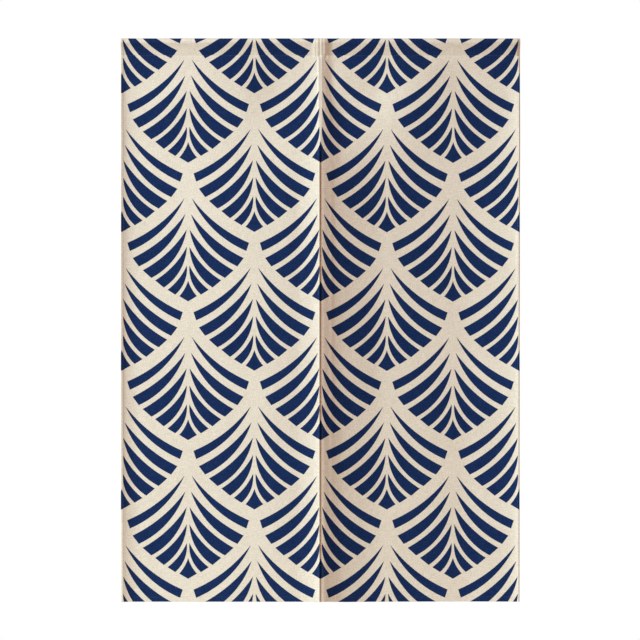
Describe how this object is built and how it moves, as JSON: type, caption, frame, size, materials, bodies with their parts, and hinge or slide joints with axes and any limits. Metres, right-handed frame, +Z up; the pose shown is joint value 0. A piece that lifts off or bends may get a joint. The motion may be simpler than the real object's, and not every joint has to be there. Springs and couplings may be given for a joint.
{
  "type": "noren curtain",
  "caption": "Doorway curtain of printed cloth with a rod sleeve along the top and a slit up the middle, hanging with soft folds.",
  "frame": {"origin": "middle of the top edge, on top of the rod sleeve, where the rod carries the cloth", "axes": "+X across the width to the viewer's right, +Z up, and the printed face looks along -Y; the cloth hangs to z = -1.2 m"},
  "size_m": [0.85, 0.0211, 1.2],
  "materials": {
    "cloth": "cream cotton and linen weave with a dark blue fan print"
  },
  "bodies": {
    "root": {"cloth": "cloth", "rod_sleeve": "cloth"}
  },
  "joints": []
}
